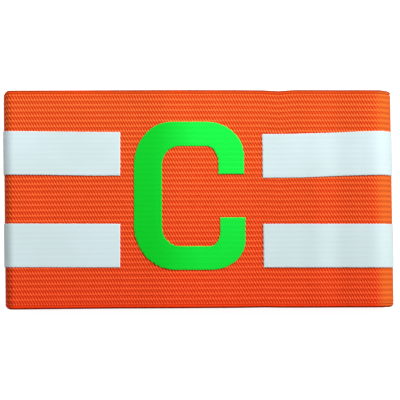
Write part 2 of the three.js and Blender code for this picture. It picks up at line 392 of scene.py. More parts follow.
def new_piece(name, points, faces, uv, material):
    """Mesh object of points in millimetres, with a UV map that counts stitches along and ribs across.

    On the faces that close the loop, the count runs on past the last stitch.
    """
    mesh = bpy.data.meshes.new(name)
    mesh.from_pydata((points * MM + SHIFT).tolist(), [], faces)
    sizes = [len(face) for face in faces]
    corner_uv = np.asarray(uv, dtype=np.float32)[np.concatenate(faces)]
    highest = np.maximum.reduceat(corner_uv[:, 0], np.cumsum([0, *sizes[:-1]]))
    corner_uv[:, 0] += STITCH_COUNT * (np.repeat(highest, sizes) - corner_uv[:, 0] > STITCH_COUNT / 2)
    mesh.uv_layers.new(name="weave").data.foreach_set("uv", corner_uv.ravel())
    mesh.polygons.foreach_set("use_smooth", [True] * len(faces))
    mesh.materials.append(material)
    mesh.update()
    return add_object(name, mesh)


def keep_evaluated(piece):
    """Turns the result of a piece's modifiers into its plain mesh."""
    graph = bpy.context.evaluated_depsgraph_get()
    mesh = bpy.data.meshes.new_from_object(piece.evaluated_get(graph))
    piece.modifiers.clear()
    piece.data = mesh
    mesh.name = piece.name


# Node helpers, used alike in geometry trees, shader groups and materials


def put(socket, value):
    """Sets a socket to a value or links it to another socket."""
    if isinstance(value, bpy.types.NodeSocket):
        socket.id_data.links.new(value, socket)
    else:
        socket.default_value = value


def fill(node, inputs):
    """Gives a node its inputs, which are told apart by name or number."""
    for label, value in inputs.items():
        put(node.inputs[label], value)


def new_node(tree, kind, inputs, **settings):
    node = tree.nodes.new(kind)
    for setting, value in settings.items():
        setattr(node, setting, value)
    fill(node, inputs)
    return node


def add_socket(tree, name, kind, way="INPUT"):
    return tree.interface.new_socket(name=name, in_out=way, socket_type=f"NodeSocket{kind}")


def maths(tree, operation, a, b=0.0, c=0.0, clamp=False):
    inputs = {0: a, 1: b, 2: c}
    return new_node(tree, "ShaderNodeMath", inputs, operation=operation, use_clamp=clamp).outputs[0]


def times(tree, a, b, clamp=False):
    return maths(tree, "MULTIPLY", a, b, clamp=clamp)


def minus(tree, a, b):
    return maths(tree, "SUBTRACT", a, b)


def larger(tree, a, b):
    return maths(tree, "MAXIMUM", a, b)


def scaled(tree, value, factor, offset, clamp=False):
    return maths(tree, "MULTIPLY_ADD", value, factor, offset, clamp)


def ramp(tree, value, start, end, first=0.0, last=1.0, smooth=False):
    """Goes from first to last while value goes from start to end, and stays level beyond."""
    inputs = {"Value": value, "From Min": start, "From Max": end, "To Min": first, "To Max": last}
    kind = "SMOOTHSTEP" if smooth else "LINEAR"
    return new_node(tree, "ShaderNodeMapRange", inputs, interpolation_type=kind).outputs["Result"]


def noise(tree, place, scale, detail=2.0):
    """Smooth noise around 0.5 at a place."""
    inputs = {"Vector": place, "Scale": scale, "Detail": detail}
    return new_node(tree, "ShaderNodeTexNoise", inputs).outputs["Fac"]


def bump_shape(tree, value, centre, half_width):
    """1 where value is at the centre, falling smoothly to 0 at half_width from it."""
    distance = maths(tree, "ABSOLUTE", minus(tree, value, centre))
    return ramp(tree, distance, 0.0, half_width, first=1.0, last=0.0, smooth=True)


def weave_pattern(tree, stitch, rib, slant):
    """Masks of the holes, the furrows and the raised links between, from counts of stitches and ribs.

    Slant is how strongly the slanted lines show between the holes, from 0 to 1.
    """
    place = maths(tree, "FRACT", rib)
    slanted = maths(tree, "ADD", minus(tree, stitch, rib), UPPER_HOLE)
    wave = maths(tree, "COSINE", times(tree, slanted, 2 * math.pi))
    line = maths(tree, "POWER", scaled(tree, wave, 0.5, 0.5), HOLE_SHARPNESS)
    upper = times(tree, bump_shape(tree, place, UPPER_HOLE, HOLE_REACH), UPPER_HOLE_STRENGTH)
    rows = larger(tree, upper, bump_shape(tree, place, LOWER_HOLE, HOLE_REACH))
    hole = times(tree, line, larger(tree, rows, slant))
    turns = times(tree, place, 2 * math.pi)
    furrow = scaled(tree, maths(tree, "COSINE", turns), -0.5, 0.5)
    on_ridge = scaled(tree, furrow, -LINK_FADE, 1.0)
    peak = maths(tree, "POWER", minus(tree, 1.0, line), HOLE_SHARPNESS)
    return hole, furrow, times(tree, peak, on_ridge)


# Materials


def new_group(name, inputs):
    """Shader node group with named number inputs, and its input node's sockets."""
    group = bpy.data.node_groups.new(name, "ShaderNodeTree")
    for label, default in inputs.items():
        add_socket(group, label, "Float").default_value = default
    return group, group.nodes.new("NodeGroupInput").outputs


def give_results(group, results):
    """Gives a group its named outputs."""
    for label in results:
        add_socket(group, label, "Float", "OUTPUT")
    new_node(group, "NodeGroupOutput", results)


def rib_weave_group():
    """Masks of the weave, from the UV map's counts of stitches and ribs.

    They are the holes, the furrows between ribs, the selvedge, the right fold's taut yarn, the line of the
    seam, the links between holes and the selvedge's dark rim. The elastic's colour paints shade into the
    holes, furrows, selvedge and rim, and a highlight onto the links and the right fold.
    """
    group, given = new_group("rib_weave", {"Unevenness": 0.15, "Slant": SLANT_STRENGTH})
    place = new_node(group, "ShaderNodeUVMap", {}, uv_map="weave").outputs["UV"]
    along, across, _ = new_node(group, "ShaderNodeSeparateXYZ", {0: place}).outputs
    stray = minus(group, noise(group, place, 0.6), 0.5)
    stitch = scaled(group, stray, given["Unevenness"], along)
    patchy = scaled(group, noise(group, place, 0.09), 5.0, -1.6, clamp=True)
    slant = times(group, patchy, given["Slant"])
    hole, furrow, between = weave_pattern(group, stitch, across, slant)
    from_fold = minus(group, along, stitch_at(loop.right_waist))
    # The right fold's taut yarn: its holes close, and the elastic paints a highlight over it.
    stretch = ramp(group, maths(group, "ABSOLUTE", from_fold), *stretch_reach())
    still_open = scaled(group, stretch, -STRETCH_CLOSING, 1.0)
    from_middle = maths(group, "ABSOLUTE", minus(group, across, RIB_COUNT / 2))
    past_ribs = minus(group, from_middle, RIB_COUNT / 2)
    ribbed = maths(group, "LESS_THAN", past_ribs, 0.01)
    rim = times(group, minus(group, past_ribs, RIM_START), RIM_GROWTH, clamp=True)
    from_seam = maths(group, "PINGPONG", along, STITCH_COUNT / 2)
    results = {
        "Hole": times(group, times(group, hole, still_open), ribbed),
        "Furrow": times(group, furrow, ribbed),
        "Selvedge": times(group, past_ribs, 2.0, clamp=True),
        "Stretch Highlight": stretch,
        "Seam": bump_shape(group, from_seam, 0.0, 0.5),
        "Link": times(group, between, ribbed),
        "Rim": times(group, rim, scaled(group, patchy, 0.45, 0.55)),
    }
    give_results(group, results)
    return group


def fine_variation_group():
    """Clouds, fine speckle, a rise up the band and a run across the letter, in Object coordinates."""
    group, given = new_group("fine_variation", {"Cloud Scale": 60.0, "Speckle Scale": 3000.0})
    place = group.nodes.new("ShaderNodeTexCoord").outputs["Object"]
    x, y, _ = new_node(group, "ShaderNodeSeparateXYZ", {0: place}).outputs
    stem_middle = (LETTER_X - LETTER_WIDTH / 2 + LETTER_STEM / 2) * MM
    right_part = (LETTER_X + LETTER_WIDTH / 4) * MM
    results = {
        "Cloud": noise(group, place, given["Cloud Scale"], detail=3.0),
        "Speckle": noise(group, place, given["Speckle Scale"], detail=1.0),
        "Rise": scaled(group, y, 1 / (BAND_WIDTH * MM), 0.5),
        "Run": ramp(group, x, stem_middle, right_part, smooth=True),
    }
    give_results(group, results)
    return group


RIB_WEAVE = rib_weave_group()
FINE_VARIATION = fine_variation_group()


def place_group(tree, group, values):
    """Outputs of a group that is placed in a tree with the given values."""
    return new_node(tree, "ShaderNodeGroup", values, node_tree=group).outputs


def mixed_colour(tree, share, first, second):
    """Colour between two others. Each is a socket or a red, green and blue."""
    node = new_node(tree, "ShaderNodeMix", {"Factor": share}, data_type="RGBA")
    sockets = [s for s in node.inputs if s.type == "RGBA"]
    for socket, colour in zip(sockets, (first, second)):
        put(socket, colour if isinstance(colour, bpy.types.NodeSocket) else (*colour, 1.0))
    return next(s for s in node.outputs if s.type == "RGBA")


def coat(tree, shader, colour, height, distance, strength=1.0):
    """Gives a shader its colour, and fine relief from a height."""
    bump = new_node(tree, "ShaderNodeBump", {"Height": height, "Distance": distance, "Strength": strength})
    fill(shader, {"Base Color": colour, "Normal": bump.outputs["Normal"]})


def new_material(name, values):
    """Material with a Principled BSDF that has the given values, and its tree and shader."""
    material = bpy.data.materials.new(name)
    material.use_nodes = True
    shader = material.node_tree.nodes["Principled BSDF"]
    fill(shader, values)
    return material, material.node_tree, shader


def elastic_material():
    """Ribbed elastic: yarn with bright links, deeper furrows, dark holes and a dark rim. The bright links
    and the lighter right fold are painted highlights; the furrows, selvedge, holes and rim are painted
    shade.
    The seam's butted line shares the holes' dark colour.

    Colours change a little from the band's bottom edge to its top one: painted light, lighter towards the
    top.
    """
    finish = {
        "Roughness": 0.75,
        "Specular IOR Level": 0.05,
        "Sheen Weight": 0.15,
        "Sheen Roughness": 0.5,
        "Sheen Tint": (1.0, 0.12, 0.03, 1.0),
    }
    material, tree, shader = new_material("ribbed_elastic", finish)
    weave = place_group(tree, RIB_WEAVE, {"Unevenness": 0.12})
    variation = place_group(tree, FINE_VARIATION, {"Speckle Scale": 2600.0})
    rise, speckle = variation["Rise"], variation["Speckle"]
    # Painted light: the yarn is lighter towards the band's top edge, where more light falls, and darker
    # towards the bottom.
    lower_yarn = mixed_colour(tree, speckle, (0.74, 0.026, 0.002), (0.87, 0.066, 0.009))
    upper_yarn = mixed_colour(tree, speckle, (0.7, 0.055, 0.003), (0.84, 0.125, 0.014))
    yarn = mixed_colour(tree, rise, lower_yarn, upper_yarn)
    # Painted highlight on the raised links, lighter towards the top.
    raised = mixed_colour(tree, rise, (1.0, 0.145, 0.045), (1.0, 0.235, 0.06))
    yarn_with_link_highlight = mixed_colour(tree, times(tree, weave["Link"], LINK_HIGHLIGHT_SHOWN), yarn, raised)
    # Painted highlight on the right fold, lighter and yellower where the key light falls on it.
    fold_highlight_share = times(tree, weave["Stretch Highlight"], FOLD_HIGHLIGHT_SHOWN)
    stretched_and_highlighted = mixed_colour(tree, fold_highlight_share, yarn_with_link_highlight, (0.74, 0.15, 0.02))
    # Painted shade in the furrows and in the selvedge's groove and edge, of another hue on the lit right
    # fold.
    furrow_shade = mixed_colour(tree, weave["Stretch Highlight"], (0.62, 0.028, 0.002), (0.4, 0.045, 0.005))
    selvedge = times(tree, weave["Selvedge"], SELVEDGE_SHADE_SHOWN)
    low = times(tree, larger(tree, weave["Furrow"], selvedge), FURROW_SHADE_SHOWN)
    furrow_shaded = mixed_colour(tree, low, stretched_and_highlighted, furrow_shade)
    # Painted shade along the selvedge's rounded outer rim.
    rim = mixed_colour(tree, rise, (0.42, 0.012, 0.001), (0.26, 0.035, 0.008))
    edge_shaded = mixed_colour(tree, weave["Rim"], furrow_shaded, rim)
    # Painted shade in the holes. The same dark colour draws the line where the ends butt at the seam.
    hole_shade_and_seam_line = times(tree, larger(tree, weave["Hole"], weave["Seam"]), HOLE_SHADE_AND_SEAM_SHOWN)
    colour = mixed_colour(tree, hole_shade_and_seam_line, edge_shaded, (0.36, 0.004, 0.0003))
    coat(tree, shader, colour, minus(tree, speckle, weave["Hole"]), 0.00008, 0.6)
    return material


def film_material(name, upper, lower, deeper, mottle, left_shade, roughness, specular):
    """Satin pressed film: faint cloudiness, fine grain and the weave just showing through, as relief and as
    painted shade.

    Upper and lower are its colours towards the band's top and bottom edges, which paint light that is
    brighter towards the top. Mottle is how strong the patches of the deeper colour are, and left shade how
    strong that colour is as painted shade where the cloth falls away from the light to the left, each from
    0 to 1.
    """
    material, tree, shader = new_material(name, {"Roughness": roughness, "Specular IOR Level": specular})
    weave = place_group(tree, RIB_WEAVE, {"Unevenness": 0.1})
    variation = place_group(tree, FINE_VARIATION, {"Cloud Scale": 45.0, "Speckle Scale": 1800.0})
    # Painted light: the film is lighter towards the band's top edge and darker towards the bottom.
    colour = mixed_colour(tree, variation["Rise"], lower, upper)
    patches = scaled(tree, variation["Cloud"], 4.0, -1.5, clamp=True)
    # Random mottle, joined to painted shade on the letter's stem where the cloth falls away from the light.
    away = times(tree, minus(tree, 1.0, variation["Run"]), left_shade)
    clouds_and_shade = larger(tree, times(tree, patches, mottle), away)
    mottled_and_shaded = mixed_colour(tree, clouds_and_shade, colour, deeper)
    # Painted shade over the weave's holes and furrows, in the dents they press into the film.
    film_furrow_shade = times(tree, weave["Furrow"], FURROW_SHADE_ON_FILM)
    weave_shade_share = scaled(tree, weave["Hole"], HOLE_SHADE_ON_FILM, film_furrow_shade)
    through = scaled(tree, weave["Hole"], 0.7, weave["Furrow"])
    height = scaled(tree, variation["Speckle"], 0.25, times(tree, through, -0.3))
    coat(tree, shader, mixed_colour(tree, weave_shade_share, mottled_and_shaded, deeper), height, 0.00005, 0.5)
    return material


def thread_material():
    """Sewing thread of the seam."""
    material, tree, shader = new_material("seam_thread", {"Roughness": 0.6})
    variation = place_group(tree, FINE_VARIATION, {"Speckle Scale": 5000.0})
    speckle = variation["Speckle"]
    colour = mixed_colour(tree, speckle, (0.72, 0.07, 0.012), (0.92, 0.15, 0.03))
    coat(tree, shader, colour, speckle, 0.00005)
    return material


ELASTIC = elastic_material()
THREAD = thread_material()
LETTER_FILM = film_material(
    "letter_film",
    upper=(0.011, 0.93, 0.08),
    lower=(0.003, 0.6, 0.028),
    deeper=(0.001, 0.47, 0.011),
    mottle=0.15,
    left_shade=0.8,
    roughness=0.45,
    specular=0.09,
)
STRIPE_FILM = film_material(
    "stripe_film",
    upper=(0.6, 0.72, 0.75),
    lower=(0.55, 0.67, 0.7),
    deeper=(0.5, 0.61, 0.6),
    mottle=0.45,
    left_shade=0.0,
    roughness=0.5,
    specular=0.25,
)


# Woven loop


def column_places():
    """Stitch counts of the mesh's columns, which are closer together where the front shows."""
    fine_start = math.floor(stitch_at(loop.right_waist) / 2) * 2
    fine_end = math.ceil(stitch_at(loop.left_waist) / 2) * 2
    hidden_start = np.arange(0, fine_start)
    shown = np.arange(fine_start * COLUMNS_PER_STITCH, fine_end * COLUMNS_PER_STITCH) / COLUMNS_PER_STITCH
    hidden_end = np.arange(fine_end, STITCH_COUNT)
    return np.concatenate([hidden_start, shown, hidden_end])


def rib_place(rib):
    """Place across the band, from 0 to 1, of a count of ribs."""
    return SELVEDGE_SHARE + (1 - 2 * SELVEDGE_SHARE) * rib / RIB_COUNT


def outer_rows():
    """Rows of the outer face: place across, level, rib count, relief share and the columns' shift.

    The shift, in stitches, lets the columns follow the slant of the holes.
    """
    half = WALL / 2
    lead = UPPER_HOLE - LOWER_HOLE
    rows = [(place, level * half, rib, 0.0, 0.0) for place, level, rib in SELVEDGE_ROWS]
    for rib in range(RIB_COUNT):
        for part, shift in ((0.0, -0.5 * lead), (LOWER_HOLE, -lead), (UPPER_HOLE, 0.0)):
            rows.append((rib_place(rib + part), half, rib + part, 1.0, shift))
    rows.append((1 - SELVEDGE_SHARE, half, RIB_COUNT, 1.0, 0.0))
    for place, level, rib in SELVEDGE_ROWS[::-1]:
        rows.append((1 - place, level * half, RIB_COUNT - rib, 0.0, 0.0))
    return rows


def inner_rows():
    """Rows of the inner face from the top edge down: place across, level and rib count."""
    rows = [(1 - place, level, RIB_COUNT) for place, level in INNER_EDGE_ROWS]
    for half_rib in range(2 * RIB_COUNT, -1, -1):
        level = WALL / 2 - INSIDE_RIB_DEPTH * (half_rib % 2 == 0)
        rows.append((rib_place(half_rib / 2), level, half_rib / 2 + 0.5))
    return rows + [(place, level, 0.0) for place, level in INNER_EDGE_ROWS[::-1]]


def knots_before(places, knots):
    """Knot before each of a number of even places, and the eased way from it to the next.

    The places end just short of the last knot, so that every one of them has a next knot.
    """
    at = np.linspace(0, knots - 1.001, places)
    before = at.astype(int)
    way = at - before
    return before, way * way * (3 - 2 * way)


def stitch_drift(rows, columns):
    """Smooth random drift of the stitches along the band, in stitches, for every row and column."""
    random = np.random.default_rng(DRIFT_SEED)
    knots = random.normal(size=(rows // DRIFT_ROWS + 3, columns // DRIFT_COLUMNS + 3))
    i, s = (values[:, None] for values in knots_before(rows, knots.shape[0]))
    j, t = (values[None, :] for values in knots_before(columns, knots.shape[1]))
    upper = knots[i, j] * (1 - t) + knots[i, j + 1] * t
    lower = knots[i + 1, j] * (1 - t) + knots[i + 1, j + 1] * t
    return STITCH_DRIFT * (upper * (1 - s) + lower * s)


def seam_pinch(length):
    """How far both faces of the cloth are drawn in beside the seam, at lengths along the loop."""
    from_seam = np.minimum(length % loop.length, -length % loop.length)
    return SEAM_PINCH * np.clip(1 - from_seam / (SEAM_WIDTH / 2), 0.0, 1.0)


def face_row(side, stitches, length, place, level, rib, shares):
    """Points, weave counts, relief shares and outward directions of one row round the loop.

    Side is 1 on the outer face and -1 on the inner one.
    """
    x = loop.at(length)[0][0]
    points, outward = cloth_points(length, band_y(x, place), side * (level - seam_pinch(length)))
    return points, np.stack([stitches, np.full_like(stitches, rib)], -1), shares, side * outward


def outer_face(columns):
    """Rows of the outer face, where the columns' shift and drift set in over a few stitches."""
    fine = np.diff(np.append(columns, STITCH_COUNT)) < 0.5
    past_start, before_end = columns - columns[fine][0], columns[fine][-1] - columns
    settled = np.clip(np.minimum(past_start, before_end) / STITCHES_TO_SETTLE, 0.0, 1.0)
    rows = outer_rows()
    face = []
    for row, drift in zip(rows, stitch_drift(len(rows), len(columns))):
        place, level, rib, relief, shift = row
        stitches = columns + shift * settled
        freedom = min(1.0, min(place, 1 - place) / (2 * SELVEDGE_SHARE))
        length = (stitches + drift * settled * freedom) / STITCH_COUNT * loop.length
        shares = np.stack([np.full_like(columns, relief), relief * fine], -1)
        face.append(face_row(1, stitches, length, place, level, rib, shares))
    return face


def inner_face(columns):
    """Rows of the inner face, which has no relief from the tree."""
    length = columns / STITCH_COUNT * loop.length
    shares = np.zeros((len(columns), 2))
    return [face_row(-1, columns, length, *row, shares) for row in inner_rows()]


def ring_faces(first, rows, width):
    """Faces between rows that close into rings, from the index of their first point."""
    faces = []
    for row in range(rows - 1):
        start = first + row * width
        for column in range(width):
            a, b = start + column, start + (column + 1) % width
            faces.append((a, b, b + width, a + width))
    return faces


def edge_faces(chosen, width, last_outer, first_inner, last_inner):
    """Faces of both edge strips, each from a run of outer columns to two inner ones.

    Chosen are the outer columns that meet an inner one. The last three are the first points of rows.
    """
    faces = []
    for column in range(len(chosen)):
        after = (column + 1) % len(chosen)
        start, end = chosen[column], chosen[after] if after else width
        run = [index % width for index in range(start, end + 1)]
        faces.append([*(last_outer + i for i in run), first_inner + after, first_inner + column])
        faces.append([*reversed(run), last_inner + column, last_inner + after])
    return faces


def woven_band_grid():
    """Points, faces, weave counts, relief shares and outward directions of the smooth band."""
    columns = column_places()
    chosen = np.flatnonzero((columns % 2) == 0)
    outer, inner = outer_face(columns), inner_face(columns[chosen])
    wide, narrow = len(columns), len(chosen)
    first_inner = len(outer) * wide
    last_inner = first_inner + (len(inner) - 1) * narrow
    faces = ring_faces(0, len(outer), wide) + ring_faces(first_inner, len(inner), narrow)
    faces += edge_faces(chosen, wide, first_inner - wide, first_inner, last_inner)
    points, counts, shares, outward = (np.concatenate(arrays) for arrays in zip(*outer, *inner))
    return points, faces, counts, shares, outward


def geometry_tree(name, inputs):
    """Geometry node tree with named inputs, its input node's sockets and its output node."""
    tree = bpy.data.node_groups.new(name, "GeometryNodeTree")
    add_socket(tree, "Geometry", "Geometry")
    for label, default in inputs.items():
        add_socket(tree, label, "Int" if isinstance(default, int) else "Float").default_value = default
    add_socket(tree, "Material", "Material")
    add_socket(tree, "Geometry", "Geometry", "OUTPUT")
    return tree, tree.nodes.new("NodeGroupInput").outputs, tree.nodes.new("NodeGroupOutput")


def named_attribute(tree, name, kind="FLOAT"):
    node = new_node(tree, "GeometryNodeInputNamedAttribute", {"Name": name}, data_type=kind)
    return next(s for s in node.outputs if s.name == "Attribute" and s.enabled)


def finish_geometry(tree, geometry, material, result):
    """Realizes instances and gives the material, as the last two steps of a tree."""
    real = new_node(tree, "GeometryNodeRealizeInstances", {0: geometry}).outputs[0]
    coated = new_node(tree, "GeometryNodeSetMaterial", {"Geometry": real, "Material": material})
    put(result.inputs[0], coated.outputs[0])


def relief_tree():
    """Lowers the furrows and holes of the weave along the cloth's own outward direction."""
    inputs = {"Rib Depth": 0.0001, "Hole Depth": 0.0002, "Unevenness": 0.25}
    tree, given, result = geometry_tree("woven_relief", inputs)
    stitch, rib = named_attribute(tree, "stitch"), named_attribute(tree, "rib")
    hole, furrow, _ = weave_pattern(tree, stitch, rib, SLANT_STRENGTH)
    position = tree.nodes.new("GeometryNodeInputPosition")
    stray = minus(tree, noise(tree, position.outputs[0], 900.0), 0.5)
    uneven = scaled(tree, stray, given["Unevenness"], 1.0)
    furrows = times(tree, furrow, given["Rib Depth"])
    furrows = times(tree, furrows, named_attribute(tree, "rib_share"))
    holes = times(tree, times(tree, hole, given["Hole Depth"]), uneven)
    holes = times(tree, holes, named_attribute(tree, "hole_share"))
    depth = maths(tree, "ADD", furrows, holes)
    way = {0: named_attribute(tree, "outward", "FLOAT_VECTOR"), "Scale": times(tree, depth, -1.0)}
    offset = new_node(tree, "ShaderNodeVectorMath", way, operation="SCALE").outputs[0]
    moved = new_node(tree, "GeometryNodeSetPosition", {"Geometry": given["Geometry"], "Offset": offset})
    finish_geometry(tree, moved.outputs[0], given["Material"], result)
    return tree


def add_geometry_nodes(piece, tree, values):
    """Adds a tree as a modifier and sets its inputs by their identifiers."""
    modifier = piece.modifiers.new(tree.name, "NODES")
    modifier.node_group = tree
    for item in tree.interface.items_tree:
        if item.in_out == "INPUT" and item.name in values:
            modifier[item.identifier] = values[item.name]


def store(mesh, name, values, kind="FLOAT"):
    attribute = mesh.attributes.new(name, kind, "POINT")
    key = "vector" if kind == "FLOAT_VECTOR" else "value"
    attribute.data.foreach_set(key, np.asarray(values, dtype=np.float32).ravel())


def woven_band():
    """Loop of ribbed elastic with its weave as real relief."""
    points, faces, counts, relief, outward = woven_band_grid()
    piece = new_piece("woven_band", points, faces, counts, ELASTIC)
    off_floor = np.clip((points[:, 2] - RELIEF_START) / RELIEF_RISE, 0.0, 1.0)
    start, full = stretch_reach()
    from_fold = np.abs(counts[:, 0] - stitch_at(loop.right_waist))
    stretched_and_highlighted = np.clip((start - from_fold) / (start - full), 0.0, 1.0)
    stored = {
        "stitch": counts[:, 0],
        "rib": counts[:, 1],
        "rib_share": relief[:, 0] * off_floor,
        "hole_share": relief[:, 1] * off_floor * (1 - STRETCH_CLOSING * stretched_and_highlighted),
    }
    for name, values in stored.items():
        store(piece.data, name, values)
    store(piece.data, "outward", outward, "FLOAT_VECTOR")
    depths = {"Rib Depth": RIB_DEPTH * MM, "Hole Depth": HOLE_DEPTH * MM, "Unevenness": 0.5}
    add_geometry_nodes(piece, relief_tree(), {**depths, "Material": ELASTIC})
    keep_evaluated(piece)
    for name in (*stored, "outward"):
        piece.data.attributes.remove(piece.data.attributes[name])
    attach(piece, BODY)
    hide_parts("elastic_band")
    return piece


# Films


def hole_mask(stitch, rib):
    """The weave's holes, nearly as in weave_pattern, from counts of stitches and ribs."""
    line = (0.5 + 0.5 * np.cos(2 * np.pi * (stitch - rib + UPPER_HOLE))) ** HOLE_SHARPNESS
    place = rib % 1.0
    near = [np.clip(1 - np.abs(place - row) / HOLE_REACH, 0, 1) for row in (UPPER_HOLE, LOWER_HOLE)]
    return line * np.maximum(*near)


def frayed(line, inward):
    """Line of (length along the loop, y), set back at the weave's holes and a little at random."""
    rib = rib_count_at(loop.at(line[:, 0])[0][0], line[:, 1])
    holes = hole_mask(line[:, 0] / loop.length * STITCH_COUNT, rib)
    stray = np.random.default_rng(len(line)).uniform(-FILM_STRAY, FILM_STRAY, len(line))
    return line + inward * (FILM_RAGGEDNESS * (holes + stray))[:, None]


def film_grid(first, second):
    """Places (length along the loop, y) of a film between two edge lines, and their ways to its rim."""
    width = np.linalg.norm(second - first, axis=1).mean()
    rim_rows = FILM_EDGE / width * np.array(FILM_RIM_ROWS)
    even = np.linspace(0, 1, round(width / FILM_ACROSS_STEP) + 1)
    across = np.unique(np.concatenate([even, rim_rows, 1 - rim_rows]))
    sideways = unit(second - first)
    first, second = frayed(first, sideways), frayed(second, -sideways)
    grid = first[:, None] + (second - first)[:, None] * across[None, :, None]
    for end, inner in ((0, 1), (-1, -2)):
        grid[end] = frayed(grid[end], unit(grid[inner] - grid[end]))
    from_side = np.minimum(across, 1 - across)[None, :] * width
    steps = np.linalg.norm(np.diff((first + second) / 2, axis=0), axis=1)
    ends = np.concatenate([[0.0], np.cumsum(steps)])
    from_end = np.minimum(ends, ends[-1] - ends)[:, None]
    return grid, np.minimum(from_side, from_end)


def film_faces(rows, columns):
    """Faces of a film's top and underside, and of the rim between them."""
    under = rows * columns
    faces = []
    for i in range(rows - 1):
        for j in range(columns - 1):
            a = i * columns + j
            b = a + columns
            faces.append((a, a + 1, b + 1, b))
            faces.append((under + a, under + b, under + b + 1, under + a + 1))
    index = np.arange(under).reshape(rows, columns)
    rim = np.concatenate([index[0], index[1:, -1], index[-1, -2::-1], index[-2:0:-1, 0]]).tolist()
    for a, b in zip(rim, rim[1:] + rim[:1]):
        faces.append((a, under + a, under + b, b))
    return faces


def film_mesh(name, lines, material):
    """Film between two edge lines of (length along the loop, y). It rounds over at its rim."""
    grid, from_rim = film_grid(*lines)
    length, y = grid[..., 0], grid[..., 1]
    rib = rib_count_at(loop.at(length)[0][0], y)
    falloff = np.clip(from_rim / FILM_EDGE, 0, 1)
    rounding = FILM_RIM_SHARE + (1 - FILM_RIM_SHARE) * np.sqrt(1 - (1 - falloff) ** 2)
    furrow = 0.5 - 0.5 * np.cos(2 * np.pi * rib)
    low = WALL / 2 + FILM_LIFT
    top = cloth_points(length, y, low + FILM_THICKNESS * rounding - FILM_SAG * furrow)[0]
    bottom = cloth_points(length, y, low)[0]
    points = np.concatenate([top.reshape(-1, 3), bottom.reshape(-1, 3)])
    counts = np.stack([length / loop.length * STITCH_COUNT, rib], -1).reshape(-1, 2)
    faces = film_faces(*length.shape)
    piece = new_piece(name, points, faces, np.concatenate([counts, counts]), material)
    outward_first(piece)
    return piece


def outward_first(piece):
    """Turns a closed mesh's faces outward where its volume comes out negative."""
    mesh = bmesh.new()
    mesh.from_mesh(piece.data)
    if mesh.calc_volume(signed=True) < 0:
        bmesh.ops.reverse_faces(mesh, faces=mesh.faces)
    mesh.to_mesh(piece.data)
    mesh.free()


def rib_count_at(x, y):
    """Count of ribs at a height above the long middle line."""
    low = band_y(x, 0.0)
    across = (y - low) / (band_y(x, 1.0) - low)
    return (across - SELVEDGE_SHARE) / (1 - 2 * SELVEDGE_SHARE) * RIB_COUNT


def corner_arc(corner, order, box, radius_x, radius_y):
    """Points of a rounded corner of a box. Order is its quarter turn, counted from the right."""
    left, right, bottom, top = box
    centre_x = right - radius_x if corner["right"] else left + radius_x
    centre_y = top - radius_y if corner["top"] else bottom + radius_y
    turn = (np.pi / 2) * (order + np.linspace(0, 1, ARC_STEPS + 1))
    return np.stack([centre_x + radius_x * np.cos(turn), centre_y + radius_y * np.sin(turn)], -1)


def letter_box(corner, side):
    """Left, right, bottom and top of the letter or of its counter, at the height of one corner."""
    setback = LETTER_UPPER_ARM_SETBACK if corner["top"] else 0.0
    left, right = LETTER_X - LETTER_WIDTH / 2, LETTER_X + LETTER_WIDTH / 2 - setback
    bottom, top = LETTER_Y - LETTER_HEIGHT / 2, LETTER_Y + LETTER_HEIGHT / 2
    if side == "outer":
        return left, right, bottom, top
    arm = LETTER_UPPER_ARM if corner["top"] else LETTER_LOWER_ARM
    return left + LETTER_STEM, right - arm, bottom + LETTER_BOTTOM_BAR, top - LETTER_TOP_BAR


def letter_line(side):
    """Outer or inner edge line of the letter, from the mouth's upper end round to its lower one."""
    boxes = [letter_box(corner, side) for corner in LETTER_CORNERS]
    arcs = []
    for order, (corner, box) in enumerate(zip(LETTER_CORNERS, boxes)):
        size = (LETTER_WIDTH, LETTER_HEIGHT) if side == "outer" else (box[1] - box[0], box[3] - box[2])
        arcs.append(corner_arc(corner, order, box, *(np.array(corner[side]) * size)))
    start = [[boxes[0][1], LETTER_Y + LETTER_MOUTH / 2]]
    end = [[boxes[-1][1], LETTER_Y - LETTER_MOUTH / 2]]
    return np.concatenate([start, *arcs, end])


def spaced_evenly(first, second, step):
    """Two matched lines with more points, so that neither has steps longer than the given one."""
    out_first, out_second = [first[:1]], [second[:1]]
    for a0, a1, b0, b1 in zip(first[:-1], first[1:], second[:-1], second[1:]):
        longest = max(np.linalg.norm(a1 - a0), np.linalg.norm(b1 - b0))
        count = max(1, math.ceil(longest / step))
        share = (np.arange(1, count + 1) / count)[:, None]
        out_first.append(a0 + (a1 - a0) * share)
        out_second.append(b0 + (b1 - b0) * share)
    return np.concatenate(out_first), np.concatenate(out_second)


def letter_film():
    """Raised letter C on the front layer."""
    outlines = spaced_evenly(letter_line("outer"), letter_line("inner"), LETTER_STEP)
    lines = [np.stack([loop.front_length(line[:, 0]), line[:, 1]], -1) for line in outlines]
    piece = film_mesh("letter_film", lines, LETTER_FILM)
    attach(piece, BODY)
    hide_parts("captain_letter")


